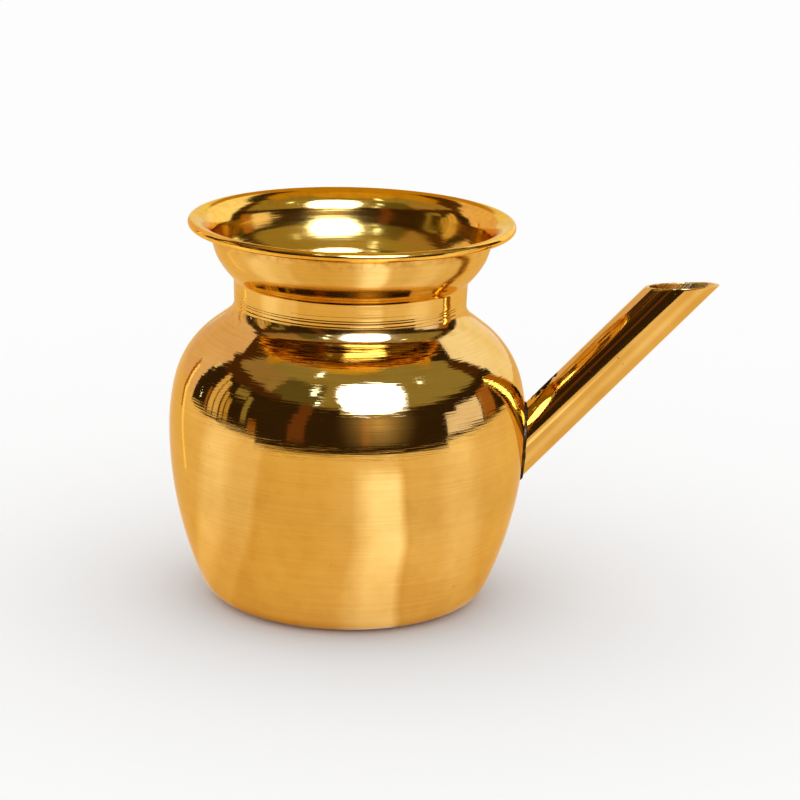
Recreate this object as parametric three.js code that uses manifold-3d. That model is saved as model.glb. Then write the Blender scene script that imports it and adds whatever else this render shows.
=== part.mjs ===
// Brass lota: a spun water pot with a flared, curled mouth and a straight pipe spout.
// Millimetres, +Z up. The origin is the centre of the base, and the spout points along +X.
import * as THREE from 'three';
import { mergeVertices } from 'three/addons/utils/BufferGeometryUtils.js';
import Module from 'manifold-3d';

const wasm = await Module();
wasm.setup();
const radians = THREE.MathUtils.degToRad;

// Sheet metal and fits
const SHEET = 0.9; // thickness of the sheet brass
const LAP = 4; // how far one sheet reaches inside the next at a lapped joint
const LAP_GAP = 0.1; // capillary gap between lapped sheets
const CUT_GAP = 0.3; // gap round a piece that is cut to fit its neighbour

// Body: arcs that run into each other, from the base up to the shoulder
const BELLY_RADIUS = 55;
const BELLY_HEIGHT = 54.5; // of the widest ring above the base
const BASE_CORNER_RADIUS = 10.5;
const LOWER_WALL_RADIUS = 120;
const UPPER_WALL_RADIUS = 62;
const UPPER_WALL_TURN = radians(13);
const SHOULDER_SLOPE = radians(53); // of the cone's normal above the horizontal
const CONE_LENGTH = 10; // straight stretch of the shoulder, up to the bend of its collar
const COLLAR_BEND = 1; // radius of the bend that turns the shoulder up inside the neck

// Neck, flare, lip and curled edge, each tilt measured from the vertical
const NECK_RADIUS = 35.4; // outside, at the crease with the shoulder
const NECK_HEIGHT = 8.7;
const NECK_TILT = radians(2);
const NECK_BEND = 4;
const FLARE_FOOT_TILT = radians(44);
const FLARE_RADIUS = 22.3;
const FLARE_TOP_TILT = radians(12.6);
const LIP_RADIUS = 7.25;
const LIP_EDGE_TILT = radians(80);
const CURL_CORE_RADIUS = 0.45;
const CURL_TURN = radians(235);

// Spout: a pipe soldered on over a hole in the belly
const SPOUT_DIAMETER = 15.6;
const SPOUT_WALL = 0.9;
const SPOUT_RISE = radians(47); // of its axis above the horizontal
const SPOUT_DROP = 4; // of the axis below the widest ring, where it meets the wall
const SPOUT_LENGTH = 68.3; // along the axis, from the wall to the middle of the mouth
const MOUTH_TILT = radians(2.3); // of the sawn mouth, higher at its far side
const SOLDER_RADIUS = 1.6;

// Brazed seams
const SEAM_MARGIN = 1.5; // from the spout's solder up to the seam round the body
const JOGGLE = 2; // height over which the lower bowl steps in below the seam
const GIRTH_BRAZE_HEIGHT = 0.6;
const NECK_BRAZE_RADIUS = 5; // of the hollow fillet in the crease

// Fineness of the facets
const CHORD_ERROR = 0.1; // greatest depth of an arc beyond its facets
const POT_SIDES = 48;
const SPOUT_SIDES = 32;
const BEAD_SIDES = 12;

const FULL_TURN = 2 * Math.PI;
const QUARTER_TURN = Math.PI / 2;
const CROSSWISE = new THREE.Vector3(0, 1, 0); // the axis that the spout leans about

// A stretch of wall is an arc in the half plane of radius r and height z, followed by the angle of its
// outward normal. Its radius is negative where the wall is hollow, so inset always goes into the metal.
function wallPoint(arc, angle, inset) {
  const reach = arc.radius - inset;
  return new THREE.Vector2(arc.r + reach * Math.cos(angle), arc.z + reach * Math.sin(angle));
}

// The next arc, bent on from the end of one, after a straight stretch between them.
function bendOn(arc, radius, to, straight = 0) {
  const angle = arc.to;
  const end = wallPoint(arc, angle, 0);
  return {
    r: end.x - straight * Math.sin(angle) - radius * Math.cos(angle),
    z: end.y + straight * Math.cos(angle) - radius * Math.sin(angle),
    radius,
    from: angle,
    to,
  };
}

// Angles along an arc, close enough together for the chord error on the thicker side of the sheet.
function arcAngles(arc) {
  const turn = arc.to - arc.from;
  const radius = Math.abs(arc.radius) + SHEET;
  const steps = Math.ceil(Math.abs(turn) / (2 * Math.acos(1 - CHORD_ERROR / radius)));
  return Array.from({ length: steps + 1 }, (_, step) => THREE.MathUtils.lerp(arc.from, arc.to, step / steps));
}

// One face of a sheet that follows a chain of arcs.
function chainLine(arcs, inset) {
  const start = wallPoint(arcs[0], arcs[0].from, inset);
  const onwards = (arc) => arcAngles(arc).slice(1).map((angle) => wallPoint(arc, angle, inset));
  return [start, ...arcs.flatMap(onwards)];
}

function closed(profile) {
  return [...profile, profile[0]];
}

// A profile turned about the Z axis.
function revolve(profile, sides) {
  const geometry = new THREE.LatheGeometry(profile, sides);
  return geometry.rotateX(QUARTER_TURN);
}

// Joins and cuts
function solidOf(geometry) {
  const bare = geometry.clone();
  bare.deleteAttribute('normal');
  bare.deleteAttribute('uv');
  const merged = mergeVertices(bare);
  const corners = merged.index.array;
  const triVerts = [];
  for (let i = 0; i < corners.length; i += 3) {
    const [a, b, c] = corners.slice(i, i + 3);
    const hasArea = a !== b && b !== c && c !== a;
    if (hasArea) triVerts.push(a, b, c);
  }
  return new wasm.Manifold(
    new wasm.Mesh({
      numProp: 3,
      vertProperties: Float32Array.from(merged.attributes.position.array),
      triVerts: Uint32Array.from(triVerts),
    }),
  );
}

function cutAway(geometry, ...tools) {
  const cut = tools.reduce((solid, tool) => solid.subtract(solidOf(tool)), solidOf(geometry));
  const mesh = cut.getMesh();
  const result = new THREE.BufferGeometry();
  result.setAttribute('position', new THREE.BufferAttribute(mesh.vertProperties, 3));
  result.setIndex(new THREE.BufferAttribute(mesh.triVerts, 1));
  return result;
}

// Body outline. The base corner is tangent to the ground and to the lower wall, which sets its place.
const lowerWall = {
  r: BELLY_RADIUS - LOWER_WALL_RADIUS,
  z: BELLY_HEIGHT,
  radius: LOWER_WALL_RADIUS,
  to: 0,
};
const cornerRise = BASE_CORNER_RADIUS - BELLY_HEIGHT;
const cornerReach = Math.sqrt((LOWER_WALL_RADIUS - BASE_CORNER_RADIUS) ** 2 - cornerRise ** 2);
lowerWall.from = Math.atan2(cornerRise, cornerReach);
const baseCorner = {
  r: lowerWall.r + cornerReach,
  z: BASE_CORNER_RADIUS,
  radius: BASE_CORNER_RADIUS,
  from: -QUARTER_TURN,
  to: lowerWall.from,
};
const upperWall = bendOn(lowerWall, UPPER_WALL_RADIUS, UPPER_WALL_TURN);

// The shoulder bends in as far as the cone and the collar inside the neck need.
const collarRadius = NECK_RADIUS - SHEET - LAP_GAP;
const coneTopRadius = collarRadius + COLLAR_BEND * (1 - Math.cos(SHOULDER_SLOPE));
const coneFootRadius = coneTopRadius + CONE_LENGTH * Math.sin(SHOULDER_SLOPE);
const upperWallTop = wallPoint(upperWall, UPPER_WALL_TURN, 0);
const shoulderTurn = Math.cos(UPPER_WALL_TURN) - Math.cos(SHOULDER_SLOPE);
const shoulderRadius = (upperWallTop.x - coneFootRadius) / shoulderTurn;
const shoulder = bendOn(upperWall, shoulderRadius, SHOULDER_SLOPE);
const collarBend = bendOn(shoulder, -COLLAR_BEND, 0, CONE_LENGTH);
const bodyArcs = [baseCorner, lowerWall, upperWall, shoulder];
const bodyAngles = bodyArcs.flatMap((arc) => arcAngles(arc).slice(1));

// The body's normal turns steadily from straight down to the shoulder's slope, so its angle marks a place.
function bodyLine(from, to, inset) {
  const between = bodyAngles.filter((angle) => angle > from && angle < to);
  return [from, ...between, to].map((angle) => {
    const arc = bodyArcs.find((piece) => angle <= piece.to);
    return wallPoint(arc, angle, inset);
  });
}

function bodyArcAt(height) {
  return bodyArcs.find((arc) => height <= wallPoint(arc, arc.to, 0).y);
}

function bodyAngleAt(height) {
  const arc = bodyArcAt(height);
  return Math.asin((height - arc.z) / arc.radius);
}

function bodyRadiusAt(height) {
  const arc = bodyArcAt(height);
  return arc.r + Math.sqrt(arc.radius ** 2 - (height - arc.z) ** 2);
}

// Spout axis, and a placing of shapes that stand on the spout's own axis with their foot at z = 0
const spoutRadius = SPOUT_DIAMETER / 2;
const boreRadius = spoutRadius - SPOUT_WALL;
const footHeight = BELLY_HEIGHT - SPOUT_DROP;
const foot = new THREE.Vector3(bodyRadiusAt(footHeight), 0, footHeight);
const spoutAxis = new THREE.Vector3(Math.cos(SPOUT_RISE), 0, Math.sin(SPOUT_RISE));
const mouth = foot.clone().addScaledVector(spoutAxis, SPOUT_LENGTH);

function alongSpout(geometry) {
  return geometry.rotateY(QUARTER_TURN - SPOUT_RISE).translate(foot.x, foot.y, foot.z);
}

// Uncut pipe and rod on the spout's axis start well inside the pot and end beyond the mouth.
const uncutReach = 2 * SPOUT_DIAMETER;
const uncutFoot = -uncutReach;
const uncutTop = SPOUT_LENGTH + uncutReach;

function spoutRod(radius) {
  const profile = [
    new THREE.Vector2(0, uncutFoot),
    new THREE.Vector2(radius, uncutFoot),
    new THREE.Vector2(radius, uncutTop),
    new THREE.Vector2(0, uncutTop),
  ];
  return alongSpout(revolve(profile, SPOUT_SIDES));
}

// The outside of the body as a full solid, grown all over by a gap, to cut pieces that stand on it.
function grownBody(gap) {
  const wall = bodyLine(-QUARTER_TURN, SHOULDER_SLOPE, -gap);
  const bottom = new THREE.Vector2(0, wall[0].y);
  const top = new THREE.Vector2(0, wall.at(-1).y);
  return revolve([bottom, ...wall, top], POT_SIDES);
}

// Seam round the body, just above the spout's solder so that the spout stands on the lower bowl alone
const spoutFootTop = footHeight + (spoutRadius + SOLDER_RADIUS) / Math.cos(SPOUT_RISE);
const seamHeight = spoutFootTop + SEAM_MARGIN;
const seamAngle = bodyAngleAt(seamHeight);
const joggleAngle = bodyAngleAt(seamHeight - JOGGLE);
const lapTopAngle = bodyAngleAt(seamHeight + LAP);
const lapInset = SHEET + LAP_GAP;

// Lower bowl: base and wall of one sheet, stepped in at the top to a lip inside the shoulder
function lowerBowl() {
  const profile = [
    new THREE.Vector2(0, 0),
    ...bodyLine(-QUARTER_TURN, seamAngle, 0),
    ...bodyLine(seamAngle, lapTopAngle, lapInset),
    ...bodyLine(seamAngle, lapTopAngle, lapInset + SHEET).reverse(),
    ...bodyLine(-QUARTER_TURN, joggleAngle, SHEET).reverse(),
    new THREE.Vector2(0, SHEET),
  ];
  return cutAway(revolve(profile, POT_SIDES), spoutRod(boreRadius));
}

// Girth braze: the ring of metal that fills the seam, flush with the wall
const brazeFootAngle = bodyAngleAt(seamHeight + LAP_GAP);
const brazeTopAngle = bodyAngleAt(seamHeight + LAP_GAP + GIRTH_BRAZE_HEIGHT);
const shoulderFootAngle = bodyAngleAt(seamHeight + 2 * LAP_GAP + GIRTH_BRAZE_HEIGHT);

function girthBraze() {
  const outside = bodyLine(brazeFootAngle, brazeTopAngle, 0);
  const inside = bodyLine(brazeFootAngle, brazeTopAngle, SHEET).reverse();
  return revolve(closed([...outside, ...inside]), POT_SIDES);
}

// Upper shoulder: wall, straight cone and the collar turned up inside the neck
const collarTop = collarBend.z + LAP;

function upperShoulder() {
  const profile = [
    ...bodyLine(shoulderFootAngle, SHOULDER_SLOPE, 0),
    ...chainLine([collarBend], 0),
    new THREE.Vector2(collarRadius, collarTop),
    new THREE.Vector2(collarRadius - SHEET, collarTop),
    ...chainLine([collarBend], SHEET).reverse(),
    ...bodyLine(shoulderFootAngle, SHOULDER_SLOPE, SHEET).reverse(),
  ];
  return revolve(closed(profile), POT_SIDES);
}

// Crease where the neck's outside meets the cone, and a corner held off both of them by a distance
const coneFoot = wallPoint(shoulder, SHOULDER_SLOPE, 0);
const creaseHeight = coneFoot.y + (coneFoot.x - NECK_RADIUS) / Math.tan(SHOULDER_SLOPE);
const crease = new THREE.Vector2(NECK_RADIUS, creaseHeight);

function normalAt(angle) {
  return new THREE.Vector2(Math.cos(angle), Math.sin(angle));
}

function creaseCorner(off) {
  const coneNormal = normalAt(SHOULDER_SLOPE);
  const neckNormal = normalAt(-NECK_TILT);
  const share = off / (1 + coneNormal.dot(neckNormal));
  return crease.clone().addScaledVector(coneNormal, share).addScaledVector(neckNormal, share);
}

// Neck with flare, lip and curled edge. Its foot is filed to the cone and seats on the collar's bend.
const neckFoot = {
  outside: new THREE.Vector2(NECK_RADIUS, creaseHeight + LAP_GAP / Math.sin(SHOULDER_SLOPE)),
  inside: new THREE.Vector2(
    NECK_RADIUS - SHEET,
    collarBend.z - COLLAR_BEND * Math.sin(Math.acos(1 - LAP_GAP / COLLAR_BEND)) + LAP_GAP,
  ),
};
const neckTop = {
  r: NECK_RADIUS + NECK_HEIGHT * Math.tan(NECK_TILT),
  z: creaseHeight + NECK_HEIGHT,
  radius: 0,
  to: -NECK_TILT,
};
const neckBend = bendOn(neckTop, -NECK_BEND, -FLARE_FOOT_TILT);
const flare = bendOn(neckBend, FLARE_RADIUS, -FLARE_TOP_TILT);
const lip = bendOn(flare, -LIP_RADIUS, -LIP_EDGE_TILT);
const curl = bendOn(lip, -CURL_CORE_RADIUS, -LIP_EDGE_TILT - CURL_TURN);

function neckAndRim() {
  const sheet = [neckBend, flare, lip, curl];
  const outside = [neckFoot.outside, ...chainLine(sheet, 0)];
  const inside = [...chainLine(sheet, SHEET).reverse(), neckFoot.inside];
  return revolve(closed([...outside, ...inside]), POT_SIDES);
}

// Neck braze: a hollow fillet in the crease, tangent to the neck and to the cone
function neckBraze() {
  const center = creaseCorner(LAP_GAP + NECK_BRAZE_RADIUS);
  const fillet = {
    r: center.x,
    z: center.y,
    radius: -NECK_BRAZE_RADIUS,
    from: SHOULDER_SLOPE,
    to: -NECK_TILT,
  };
  return revolve(closed([creaseCorner(LAP_GAP), ...chainLine([fillet], 0)]), POT_SIDES);
}

// Spout tube: cut at its foot to the saddle of the belly, and sawn nearly level at its mouth
function spoutTube() {
  const profile = [
    new THREE.Vector2(boreRadius, uncutFoot),
    new THREE.Vector2(spoutRadius, uncutFoot),
    new THREE.Vector2(spoutRadius, uncutTop),
    new THREE.Vector2(boreRadius, uncutTop),
  ];
  const pipe = alongSpout(revolve(closed(profile), SPOUT_SIDES));
  const block = 2 * uncutReach;
  const sawnOff = new THREE.BoxGeometry(block, block, block)
    .translate(0, 0, block / 2)
    .rotateY(-MOUTH_TILT)
    .translate(mouth.x, mouth.y, mouth.z);
  return cutAway(pipe, grownBody(CUT_GAP), sawnOff);
}

// A point of the line where the spout's outside meets the belly, at an angle round the spout's axis.
// The generatrix is searched by halving, from inside the pot to outside it.
function saddlePoint(around) {
  const start = new THREE.Vector3(spoutRadius * Math.cos(around), spoutRadius * Math.sin(around), 0);
  start.applyAxisAngle(CROSSWISE, QUARTER_TURN - SPOUT_RISE).add(foot);
  let inner = -uncutReach;
  let outer = uncutReach;
  const point = new THREE.Vector3();
  for (let halving = 0; halving < 40; halving += 1) {
    const middle = (inner + outer) / 2;
    point.copy(start).addScaledVector(spoutAxis, middle);
    const isOutside = Math.hypot(point.x, point.y) > bodyRadiusAt(point.z);
    if (isOutside) outer = middle;
    else inner = middle;
  }
  return point;
}

// Spout solder: a round bead laid along the saddle line, cut off where the tube and the belly are
function spoutSolder() {
  const bead = new THREE.TorusGeometry(spoutRadius, SOLDER_RADIUS, BEAD_SIDES, SPOUT_SIDES);
  const places = bead.attributes.position;
  const turns = bead.attributes.uv;
  const step = FULL_TURN / SPOUT_SIDES;
  for (let i = 0; i < places.count; i += 1) {
    const around = FULL_TURN * turns.getX(i);
    const round = FULL_TURN * turns.getY(i);
    const point = saddlePoint(around);
    const along = saddlePoint(around + step).sub(saddlePoint(around - step)).normalize();
    const fromAxis = point.clone().sub(foot);
    const outward = fromAxis.addScaledVector(spoutAxis, -fromAxis.dot(spoutAxis)).normalize();
    const across = outward.clone().cross(along);
    point.addScaledVector(outward, SOLDER_RADIUS * Math.cos(round));
    point.addScaledVector(across, SOLDER_RADIUS * Math.sin(round));
    places.setXYZ(i, point.x, point.y, point.z);
  }
  return cutAway(bead, spoutRod(spoutRadius + CUT_GAP), grownBody(CUT_GAP));
}

// Finishes
const polishedBrass = { color: 0xdcab4c, roughness: 0.2, metalness: 1 };
const spoutBrass = { color: 0xd3a34e, roughness: 0.28, metalness: 1 };
const brazingBrass = { color: 0xcf9c45, roughness: 0.35, metalness: 1 };
const darkSolder = { color: 0x6a6154, roughness: 0.5, metalness: 0.9 };

const lota = new THREE.Group();

function addPiece(name, geometry, finish) {
  const piece = new THREE.Mesh(geometry, new THREE.MeshStandardMaterial(finish));
  piece.name = name;
  lota.add(piece);
}

addPiece('lower_bowl', lowerBowl(), polishedBrass);
addPiece('girth_braze', girthBraze(), brazingBrass);
addPiece('upper_shoulder', upperShoulder(), polishedBrass);
addPiece('neck_braze', neckBraze(), brazingBrass);
addPiece('neck_and_rim', neckAndRim(), polishedBrass);
addPiece('spout_tube', spoutTube(), spoutBrass);
addPiece('spout_solder', spoutSolder(), darkSolder);

export default lota;
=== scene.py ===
# %% [markdown]
# # A brass lota in Blender
# A lota is a small water pot. This one is spun from sheet brass: a round body, a flared neck with a curled
# edge, and a straight pipe spout soldered to its side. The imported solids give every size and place. Here
# each solid gets a smooth, finely divided double, because polished metal mirrors its surroundings and shows
# every facet. Lengths are metres, +Z is up and the spout points along +X.

# %% Load the fixed frame
from math import asin, atan2, ceil, cos, hypot, pi, radians, sin, sqrt, tan

import bmesh
import bpy
from mathutils import Matrix, Vector, noise


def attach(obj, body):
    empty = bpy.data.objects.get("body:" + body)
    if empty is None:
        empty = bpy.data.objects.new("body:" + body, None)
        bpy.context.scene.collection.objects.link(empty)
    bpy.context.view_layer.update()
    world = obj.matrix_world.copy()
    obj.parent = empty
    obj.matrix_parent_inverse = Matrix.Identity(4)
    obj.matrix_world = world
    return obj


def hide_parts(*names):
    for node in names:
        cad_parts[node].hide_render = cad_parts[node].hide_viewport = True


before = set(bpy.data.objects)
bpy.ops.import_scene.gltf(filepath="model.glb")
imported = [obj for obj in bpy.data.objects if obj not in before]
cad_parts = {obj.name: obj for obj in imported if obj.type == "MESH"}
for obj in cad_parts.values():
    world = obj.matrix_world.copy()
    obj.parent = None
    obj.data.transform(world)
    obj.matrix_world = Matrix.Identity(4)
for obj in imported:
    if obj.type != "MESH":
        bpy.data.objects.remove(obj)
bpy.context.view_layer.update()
print("nodes:", sorted(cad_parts))

# %% [markdown]
# ## Sizes
# The outline of a spun pot is a chain of arcs that run into each other. These are the driving sizes of the
# solids, and everything below is worked out from them. An angle is that of the wall's outward normal above
# the horizontal, so the flat base has a quarter turn down and the widest ring has none.

# %% Driving sizes
MM = 0.001
QUARTER_TURN = pi / 2
FULL_TURN = 2 * pi
SHEET = 0.9 * MM
LAP = 4 * MM
LAP_GAP = 0.1 * MM
BELLY_RADIUS = 54.998 * MM  # a hair less than the solid's, to stay inside its box
BELLY_HEIGHT = 54.5 * MM
BASE_CORNER_RADIUS = 10.5 * MM
LOWER_WALL_RADIUS = 120 * MM
UPPER_WALL_RADIUS = 62 * MM
UPPER_WALL_TURN = radians(13)
SHOULDER_SLOPE = radians(53)
CONE_LENGTH = 10 * MM
COLLAR_BEND = 1 * MM
NECK_RADIUS = 35.4 * MM
NECK_HEIGHT = 8.7 * MM
NECK_TILT = radians(2)
NECK_BEND = 4 * MM
FLARE_FOOT_TILT = radians(44)
FLARE_RADIUS = 22.3 * MM
FLARE_TOP_TILT = radians(12.6)
LIP_RADIUS = 7.25 * MM
LIP_EDGE_TILT = radians(80)
CURL_CORE_RADIUS = 0.45 * MM
CURL_TURN = radians(235)
SPOUT_DIAMETER = 15.6 * MM
SPOUT_WALL = 0.9 * MM
SPOUT_RISE = radians(47)
SPOUT_DROP = 4 * MM
SPOUT_LENGTH = 68.3 * MM
MOUTH_TILT = radians(2.3)
SOLDER_RADIUS = 1.6 * MM
SEAM_MARGIN = 1.5 * MM
SEAM_HEIGHT = 0.8 * MM
CHORD_SAG = 0.03 * MM  # the solids' arcs are chords, so their rim stands this much lower


def in_mm(*lengths):
    return [round(length / MM, 2) for length in lengths]


print("belly and pipe in mm:", in_mm(2 * BELLY_RADIUS, SPOUT_DIAMETER))

# %% Places that follow from them
corner_rise = BASE_CORNER_RADIUS - BELLY_HEIGHT
corner_reach = sqrt((LOWER_WALL_RADIUS - BASE_CORNER_RADIUS) ** 2 - corner_rise**2)
corner_angle = atan2(corner_rise, corner_reach)
base_flat = BELLY_RADIUS - LOWER_WALL_RADIUS + corner_reach
spout_radius = SPOUT_DIAMETER / 2
bore_radius = spout_radius - SPOUT_WALL
foot_height = BELLY_HEIGHT - SPOUT_DROP
seam_low = foot_height + (spout_radius + SOLDER_RADIUS) / cos(SPOUT_RISE) + SEAM_MARGIN
seam_angle = asin((seam_low - BELLY_HEIGHT) / UPPER_WALL_RADIUS)
seam_top_angle = asin((seam_low + SEAM_HEIGHT - BELLY_HEIGHT) / UPPER_WALL_RADIUS)
collar_radius = NECK_RADIUS - SHEET - LAP_GAP
cone_foot_radius = collar_radius + COLLAR_BEND * (1 - cos(SHOULDER_SLOPE))
cone_foot_radius += CONE_LENGTH * sin(SHOULDER_SLOPE)
wall_top_radius = BELLY_RADIUS - UPPER_WALL_RADIUS * (1 - cos(UPPER_WALL_TURN))
wall_top_height = BELLY_HEIGHT + UPPER_WALL_RADIUS * sin(UPPER_WALL_TURN)
shoulder_turn = cos(UPPER_WALL_TURN) - cos(SHOULDER_SLOPE)
shoulder_radius = (wall_top_radius - cone_foot_radius) / shoulder_turn
cone_foot_height = wall_top_height + shoulder_radius * (sin(SHOULDER_SLOPE) - sin(UPPER_WALL_TURN))
crease_height = cone_foot_height + (cone_foot_radius - NECK_RADIUS) / tan(SHOULDER_SLOPE)
print("base flat, seam and crease in mm:", in_mm(base_flat, seam_low, crease_height))

# %% [markdown]
# ## Drawing a sheet and turning it
# A metal spinner presses a disc of sheet against a former on the lathe, so a drawn line that is turned
# about the axis is the natural way to model it. Spinning a single vertex draws an arc, extruding it draws a
# straight, and spinning the finished line about Z makes the skin. Solidify then gives the skin the sheet's
# thickness. Each vertex also keeps how far along the line it lies, so that lathe marks can follow the wall.

# %% A line that bends on from its own end
FINE_STEP = 1.0 * MM
FINE_TURN = radians(6)
HAIR = 0.05 * MM  # a last short step, which keeps the shading true up to a sharp edge


class SheetLine:
    """The outside of a sheet, drawn in the XZ plane and followed by the angle of its outward normal."""

    def __init__(self, radius, height, angle):
        self.bm = bmesh.new()
        self.along = self.bm.verts.layers.float.new("along")
        self.start = self.bm.verts.new((radius, 0, height))
        self.end = self.start
        self.first_angle = angle
        self.angle = angle

    def straight(self, length, inset=0):
        ahead = Vector((-sin(self.angle), 0, cos(self.angle)))
        inward = Vector((-cos(self.angle), 0, -sin(self.angle)))
        self.end = bmesh.ops.extrude_vert_indiv(self.bm, verts=[self.end])["verts"][0]
        self.end.co += ahead * length + inward * inset

    def bend(self, radius, to):
        """An arc on to a normal's angle. A negative radius is hollow on the outside."""
        turn = to - self.angle
        steps = max(abs(turn * radius) / FINE_STEP, abs(turn) / FINE_TURN)
        outward = Vector((cos(self.angle), 0, sin(self.angle)))
        arc = bmesh.ops.spin(
            self.bm,
            geom=[self.end],
            cent=self.end.co - radius * outward,
            axis=(0, -1, 0),
            angle=turn,
            steps=ceil(steps),
        )
        self.end = next(part for part in arc["geom_last"] if isinstance(part, bmesh.types.BMVert))
        self.angle = to

    def bend_to_edge(self, radius, to):
        self.bend(radius, to - HAIR / radius)
        self.bend(radius, to)

    def bend_from_edge(self, radius, to):
        self.bend(radius, self.angle + HAIR / radius)
        self.bend(radius, to)


trial_line = SheetLine(BELLY_RADIUS, 0, 0)
trial_line.bend(BELLY_RADIUS, QUARTER_TURN)
print("a trial quarter arc ends, in mm, at", in_mm(*trial_line.end.co))
trial_line.bm.free()

# %% Turning a line into a skin
AROUND = 256
MERGE_DISTANCE = 0.001 * MM


def measure_along(line):
    place, came_by, run = line.start, None, 0.0
    while place is not None:
        place[line.along] = run
        onward = [edge for edge in place.link_edges if edge is not came_by]
        came_by = onward[0] if onward else None
        run += came_by.calc_length() if came_by else 0
        place = came_by.other_vert(place) if came_by else None
    return run


def spin_round(bm):
    """Spin all that is drawn once round the Z axis."""
    drawn = bm.verts[:] + bm.edges[:]
    bmesh.ops.spin(
        bm, geom=drawn, cent=(0, 0, 0), axis=(0, 0, 1), angle=FULL_TURN, steps=AROUND, use_merge=True
    )
    bmesh.ops.remove_doubles(bm, verts=bm.verts, dist=MERGE_DISTANCE)


def turned(line):
    """The skin that the line makes when it turns about the Z axis, with its faces outwards."""
    bm = line.bm
    run = measure_along(line)
    first_place = line.start.co.copy()
    spin_round(bm)
    bmesh.ops.recalc_face_normals(bm, faces=bm.faces)
    face = min(bm.faces, key=lambda near: (near.calc_center_median() - first_place).length)
    middle = face.calc_center_median()
    sideways = Vector((middle.x, middle.y, 0)).normalized()
    outward = sideways * cos(line.first_angle) + Vector((0, 0, sin(line.first_angle)))
    if face.normal.dot(outward) < 0:
        bmesh.ops.reverse_faces(bm, faces=bm.faces)
    print("turned a line with a length in mm of", in_mm(run))
    return bm


# %% Thickness, and a finished piece
SHARP_ANGLE = radians(35)


def thicken(bm, thickness):
    """Give the skin its thickness inwards. The faces that this adds have the second finish."""
    added = bmesh.ops.solidify(bm, geom=bm.faces[:], thickness=thickness)["geom"]
    for face in (part for part in added if isinstance(part, bmesh.types.BMFace)):
        face.material_index = 1


def as_object(bm, name):
    """Hand the bmesh over to a new object in the scene."""
    mesh = bpy.data.meshes.new(name)
    bm.to_mesh(mesh)
    bm.free()
    made = bpy.data.objects.new(name, mesh)
    bpy.context.scene.collection.objects.link(made)
    return made


def finish_piece(bm, name, node):
    """The bmesh as a smooth piece that stands for a solid's node."""
    for face in bm.faces:
        face.smooth = True
    for edge in bm.edges:
        edge.smooth = edge.calc_face_angle(0) < SHARP_ANGLE
    piece = as_object(bm, name)
    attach(piece, "root")
    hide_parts(node)
    print(name, "has", len(piece.data.polygons), "faces")
    return piece


# %% [markdown]
# ## The spout's line on the belly
# The pipe meets the round belly along a saddle, a closed line that curves in two directions. Both the
# pipe's foot and the solder follow it. A point of the pipe's wall slides along the spout's axis until it
# lies on the belly, and halving the way again and again finds that place without any formula for the curve.

# %% Spout axis and saddle
HALVINGS = 40
FURTHEST_SLIDE = 2 * SPOUT_DIAMETER


def belly_radius(height):
    wall = LOWER_WALL_RADIUS if height < BELLY_HEIGHT else UPPER_WALL_RADIUS
    return BELLY_RADIUS - wall + sqrt(wall**2 - (height - BELLY_HEIGHT) ** 2)


spout_axis = Vector((cos(SPOUT_RISE), 0, sin(SPOUT_RISE)))
spout_foot = Vector((belly_radius(foot_height), 0, foot_height))
spout_mouth = spout_foot + SPOUT_LENGTH * spout_axis
spout_frame = Matrix.Translation(spout_foot) @ Matrix.Rotation(QUARTER_TURN - SPOUT_RISE, 4, "Y")


def onto_belly(point):
    """The place where a line through the point, along the spout, comes out of the belly."""
    inner, outer = -FURTHEST_SLIDE, FURTHEST_SLIDE
    for _ in range(HALVINGS):
        middle = (inner + outer) / 2
        place = point + middle * spout_axis
        is_outside = hypot(place.x, place.y) > belly_radius(place.z)
        if is_outside:
            outer = middle
        else:
            inner = middle
    return place


print("spout in mm, from", in_mm(*spout_foot), "to", in_mm(*spout_mouth))

# %% [markdown]
# ## Lower bowl
# The base and the lower half of the body are one sheet. At the seam its edge steps in by a sheet's
# thickness, a joggle, and goes on as a short lip that the upper half slides over. The spout opens into it
# through a hole as wide as the pipe's bore, which a Boolean cuts once the wall has its thickness.

# %% Draw and turn the bowl
bowl_line = SheetLine(0, 0, -QUARTER_TURN)
bowl_line.straight(base_flat)
bowl_line.bend(BASE_CORNER_RADIUS, corner_angle)
bowl_line.bend(LOWER_WALL_RADIUS, 0)
bowl_line.bend_to_edge(UPPER_WALL_RADIUS, seam_angle)
bowl_line.straight(0, inset=SHEET + LAP_GAP)
bowl_line.straight(LAP)
bowl_skin = turned(bowl_line)
thicken(bowl_skin, SHEET)

# %% Cut the hole under the spout
DRILL_SIDES = 96
bowl_blank = as_object(bowl_skin, "bowl_before_hole")
drill_shape = bmesh.new()
bmesh.ops.create_cone(
    drill_shape,
    cap_ends=True,
    segments=DRILL_SIDES,
    radius1=bore_radius,
    radius2=bore_radius,
    depth=2 * SPOUT_DIAMETER,
    matrix=spout_frame,
)
drill = as_object(drill_shape, "spout_drill")
hole = bowl_blank.modifiers.new("hole", "BOOLEAN")
hole.operation = "DIFFERENCE"
hole.object = drill
cut_bowl = bowl_blank.evaluated_get(bpy.context.evaluated_depsgraph_get())
bowl_skin = bmesh.new()
bowl_skin.from_mesh(cut_bowl.to_mesh())
cut_bowl.to_mesh_clear()
bmesh.ops.dissolve_degenerate(bowl_skin, dist=MERGE_DISTANCE, edges=bowl_skin.edges)
for helper in (bowl_blank, drill):
    bpy.data.objects.remove(helper)
spun_bowl = finish_piece(bowl_skin, "spun_bowl", "lower_bowl")

# %% [markdown]
# ## Seam and upper shoulder
# The upper half of the body starts at the seam, bends in over the shoulder and runs up a short cone. Its
# top edge turns up into a collar inside the neck. The seam itself is brazed, filed flush and polished, so
# it hardly shows: the ring of brazing metal is its own thin piece, with no step to either side.

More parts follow.
